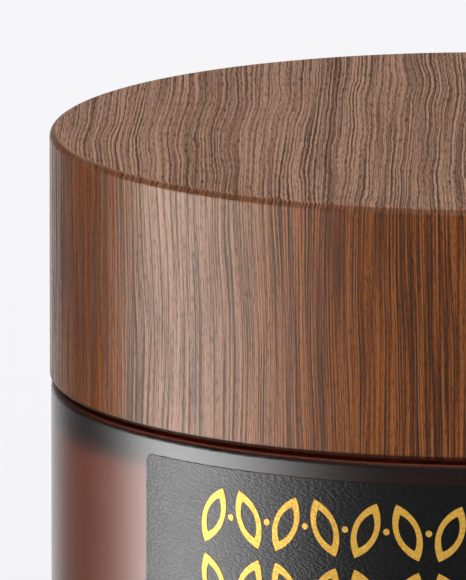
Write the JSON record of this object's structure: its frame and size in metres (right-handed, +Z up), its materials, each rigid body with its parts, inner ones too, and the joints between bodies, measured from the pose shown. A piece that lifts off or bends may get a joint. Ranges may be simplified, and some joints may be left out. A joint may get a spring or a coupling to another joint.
{
  "type": "screw-top glass jar",
  "caption": "Round frosted glass jar with a deep wooden screw cap, a threaded plastic insert, a foam liner, a sealing disc and a dark front label.",
  "frame": {"origin": "centre of the base, on the surface that the jar stands on", "axes": "+Z up along the jar's axis, -Y towards the label, +X to the label's right as it is read"},
  "size_m": [0.074, 0.074, 0.0635],
  "materials": {
    "amber_glass": "frosted, satin",
    "black_paper": "matt, fine grain",
    "gold_foil": "bright foil",
    "white_plastic": "translucent satin",
    "white_foam": "fine closed-cell foam, smooth skin",
    "ivory_plastic": "satin moulding",
    "walnut": "satin varnish"
  },
  "bodies": {
    "jar": {"glass_jar": "amber_glass", "front_label": "black_paper", "label_foil": "gold_foil"},
    "seal_disc": {"seal_disc": "white_plastic"},
    "liner": {"cap_liner": "white_foam"},
    "cap": {"cap_insert": "ivory_plastic", "cap_shell": "walnut"}
  },
  "joints": [
    {"name": "cap_lift", "type": "slide", "parent": "jar", "child": "liner", "axis": [0, 0, 1], "range_m": [0, 0.018]},
    {"name": "cap_unscrew", "type": "hinge", "parent": "liner", "child": "cap", "pos_m": [0, 0, 0.0434], "axis": [0, 0, 1], "range_deg": [0, 540]},
    {"name": "seal_lift", "type": "slide", "parent": "jar", "child": "seal_disc", "axis": [0, 0, 1], "range_m": [0, 0.006]}
  ],
  "couplings": [
    {"joint": "cap_lift", "follows": "cap_unscrew", "m_per_rad": 0.0019099},
    {"joint": "seal_lift", "follows": "cap_unscrew", "m_per_rad": 0.00063662}
  ]
}
